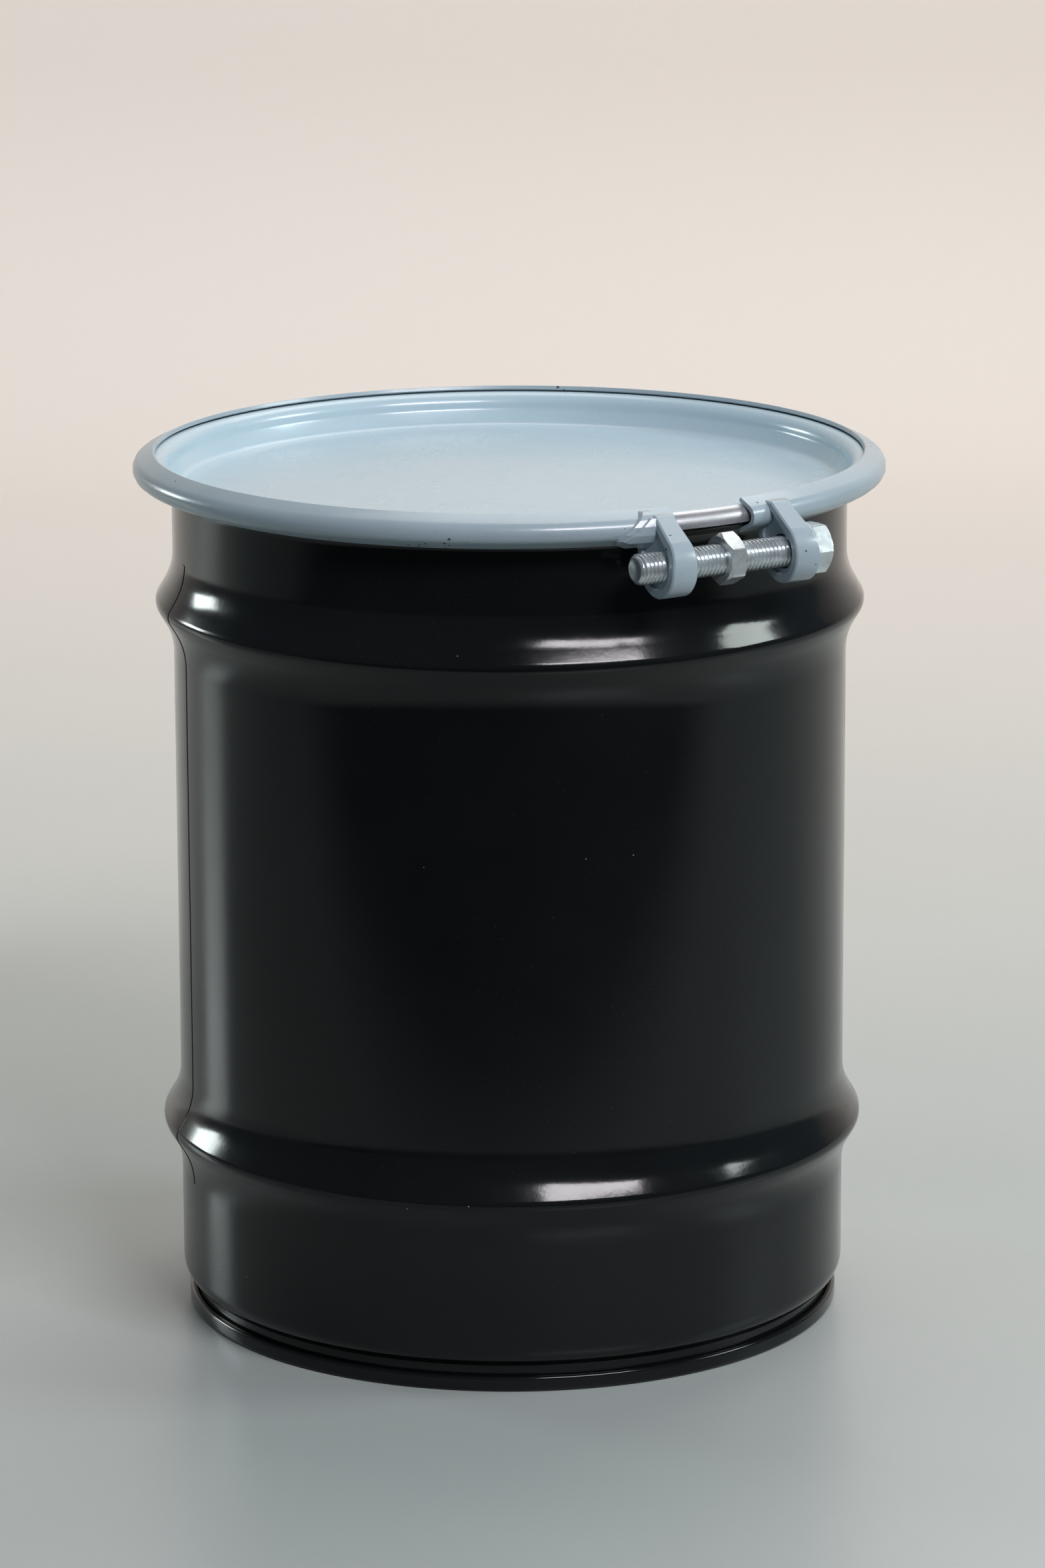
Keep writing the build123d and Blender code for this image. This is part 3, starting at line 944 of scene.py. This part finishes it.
class DRUM_OT_nut(Operator):
    """Make the jam nut with its tapped bore"""

    bl_idname = "drum.nut"
    bl_label = "Jam nut"

    def execute(self, context):
        bolt = context.scene.drum_bolt
        axis_y, axis_z = middle(BOLT_BOX, 1), middle(BOLT_BOX, 2)
        low, high = NUT_BOX[0][0], NUT_BOX[1][0]
        bore = bolt.major_radius + 0.08 * MM
        mouth = bore + 0.6 * MM
        lead = [(low + NUT_LEAD, constant(bore)), (low, constant(mouth))]
        rows = lead + hex_rows(bolt.across_flats, bolt.nut_turn, low, high, True, True)
        rows += [(high, constant(mouth)), (high - NUT_LEAD, constant(bore)), lead[0]]
        nut = turned_on_bolt("jam_nut_hex", rows, HEX_STEPS, axis_y, axis_z, HEX_SMOOTH)
        coat(nut, "zinc_plate")
        ride_and_stand_for(nut, "jam_nut", "zinc_plate", "jam_nut")
        return {"FINISHED"}


def backdrop_material(floor, wall, start, end):
    """Painted floor near the drum, with painted shade towards the camera for the unlit room
    there, that fades to the wall's colour.
    """
    shader = Shader("studio_backdrop", floor, roughness=0.35)
    axis = shader.node("ShaderNodeVectorMath", operation="DOT_PRODUCT")
    shader.link(shader.place, axis.inputs[0])
    axis.inputs[1].default_value = LOOK
    fade = shader.spread(axis.outputs["Value"], start, end)
    tone = shader.spread(shader.noise(1.6, 3.0, 0.55), 0.3, 0.7)
    near = shader.mix(tone, tint(floor, 0.96), tint(floor, 1.04))
    # painted shade: towards the camera the floor is darkened to 6% of its colour, standing in for
    # the unlit room that the glossy body reflects
    painted_shade_fade = shader.spread(axis.outputs["Value"], -0.85, -0.50)
    shader.colour(shader.mix(painted_shade_fade, tint(floor, 0.06), shader.mix(fade, near, wall)))
    shader.roughness(shader.spread(fade, 0.0, 1.0, 0.33, 0.75))
    shader.normal(shader.bump(shader.noise(60.0, 3.0, 0.6), 0.08, 0.002))
    return shader.material


def area_light(name, place, target, width, height, power, colour):
    """A rectangular light that faces the target."""
    data = bpy.data.lights.new(name, "AREA")
    data.shape = "RECTANGLE"
    data.size, data.size_y = width, height
    data.energy = power
    data.color = colour
    lamp = bpy.data.objects.new(name, data)
    bpy.context.collection.objects.link(lamp)
    lamp.location = place
    aim = Vector(target) - lamp.location
    lamp.rotation_euler = aim.to_track_quat("-Z", "Y").to_euler()


def softbox(name, azimuth, elevation, distance, width, height, power, colour):
    """An area light aimed at the drum. The azimuth is measured from the camera's side."""
    toward = math.atan2(CAMERA_PLACE[1], CAMERA_PLACE[0]) + math.radians(azimuth)
    flat = math.cos(math.radians(elevation)) * distance
    level = math.sin(math.radians(elevation)) * distance + AIM_HEIGHT
    place = (flat * math.cos(toward), flat * math.sin(toward), level)
    area_light(name, place, (0, 0, AIM_HEIGHT), width, height, power, colour)


def backdrop(finishes, side):
    """One sheet of floor and wall, joined by a cove."""
    profile = [(-FLOOR_FRONT, 0.0), (WALL_AWAY - WALL_COVE, 0.0)]
    for k in range(1, COVE_STEPS + 1):
        turn = math.pi / 2 * k / COVE_STEPS
        along = WALL_AWAY - WALL_COVE + WALL_COVE * math.sin(turn)
        profile.append((along, WALL_COVE - WALL_COVE * math.cos(turn)))
    profile.append((WALL_AWAY, WALL_HEIGHT))
    vertices = []
    for along, up in profile:
        for across in (-FLOOR_HALF_WIDTH, FLOOR_HALF_WIDTH):
            spot = LOOK * along + side * across
            vertices.append((spot.x, spot.y, up))
    faces = [(2 * k, 2 * k + 1, 2 * k + 3, 2 * k + 2) for k in range(len(profile) - 1)]
    made = new_object("studio_backdrop", vertices, faces)
    made.data.materials.append(
        backdrop_material(tuple(finishes.floor), tuple(finishes.wall), 0.2, WALL_AWAY)
    )


def studio_world(colour, strength):
    world = bpy.data.worlds.new("studio_world")
    world.use_nodes = True
    background = world.node_tree.nodes["Background"]
    background.inputs["Color"].default_value = colour
    background.inputs["Strength"].default_value = strength
    return world


def studio_camera():
    data = bpy.data.cameras.new("camera")
    data.sensor_fit = "VERTICAL"
    data.sensor_height = 36.0
    data.lens = CAMERA_LENS
    data.clip_end = 50
    camera = bpy.data.objects.new("camera", data)
    flat = math.cos(CAMERA_PITCH)
    forward = Vector((LOOK.x * flat, LOOK.y * flat, -math.sin(CAMERA_PITCH)))
    right = forward.cross(Vector((0, 0, 1))).normalized()
    up = right.cross(forward)
    basis = Matrix((right, up, -forward)).transposed()
    basis = Matrix.Rotation(CAMERA_ROLL, 3, forward) @ basis
    camera.matrix_world = Matrix.Translation(CAMERA_PLACE) @ basis.to_4x4()
    return camera


class DRUM_OT_stage(Operator):
    """Set the floor, the wall, the lights and the camera"""

    bl_idname = "drum.stage"
    bl_label = "Stage"

    def execute(self, context):
        scene = context.scene
        side = Vector((LOOK.y, -LOOK.x, 0.0))
        backdrop(scene.drum_finishes, side)
        for light in SOFTBOXES:
            softbox(*light)
        over, under = LOOK * 1.5 + side * 0.5, LOOK * 1.9
        place, target = (over.x, over.y, 2.7), (under.x, under.y, 0.2)
        area_light("back_wash", place, target, 2.6, 1.6, 40, (1.0, 0.95, 0.90))
        scene.world = studio_world((0.72, 0.87, 1.0, 1), 0.13)
        camera = studio_camera()
        context.collection.objects.link(camera)
        scene.camera = camera
        scene.view_settings.view_transform = "Standard"
        return {"FINISHED"}


class DRUM_PT_panel(Panel):
    """The drum's sizes, finishes and build steps"""

    bl_label = "Drum"
    bl_idname = "DRUM_PT_panel"
    bl_space_type = "VIEW_3D"
    bl_region_type = "UI"
    bl_category = "Drum"

    def draw(self, context):
        for step in STEPS:
            self.layout.operator(step.bl_idname)
        for name in GROUPS:
            group = getattr(context.scene, name)
            box = self.layout.box()
            for key in group.__annotations__:
                box.prop(group, key)


STEPS = (
    DRUM_OT_finishes,
    DRUM_OT_shell,
    DRUM_OT_bottom,
    DRUM_OT_side_seam,
    DRUM_OT_cover,
    DRUM_OT_ring,
    DRUM_OT_lugs,
    DRUM_OT_bolt,
    DRUM_OT_nut,
    DRUM_OT_stage,
)
GROUPS = {
    "drum_sizes": DrumSizes,
    "drum_cover": CoverSizes,
    "drum_ring": RingSizes,
    "drum_bolt": BoltSizes,
    "drum_finishes": Finishes,
}


def register():
    for cls in (*GROUPS.values(), *STEPS, DRUM_PT_panel):
        bpy.utils.register_class(cls)
    for name, group in GROUPS.items():
        setattr(bpy.types.Scene, name, PointerProperty(type=group))


def unregister():
    for name in GROUPS:
        delattr(bpy.types.Scene, name)
    for cls in (DRUM_PT_panel, *reversed(STEPS), *reversed(list(GROUPS.values()))):
        bpy.utils.unregister_class(cls)


def main():
    register()
    bpy.ops.drum.finishes()
    bpy.ops.drum.shell()
    bpy.ops.drum.bottom()
    bpy.ops.drum.side_seam()
    bpy.ops.drum.cover()
    bpy.ops.drum.ring()
    bpy.ops.drum.lugs()
    bpy.ops.drum.bolt()
    bpy.ops.drum.nut()
    bpy.ops.drum.stage()


if __name__ == "__main__":
    main()
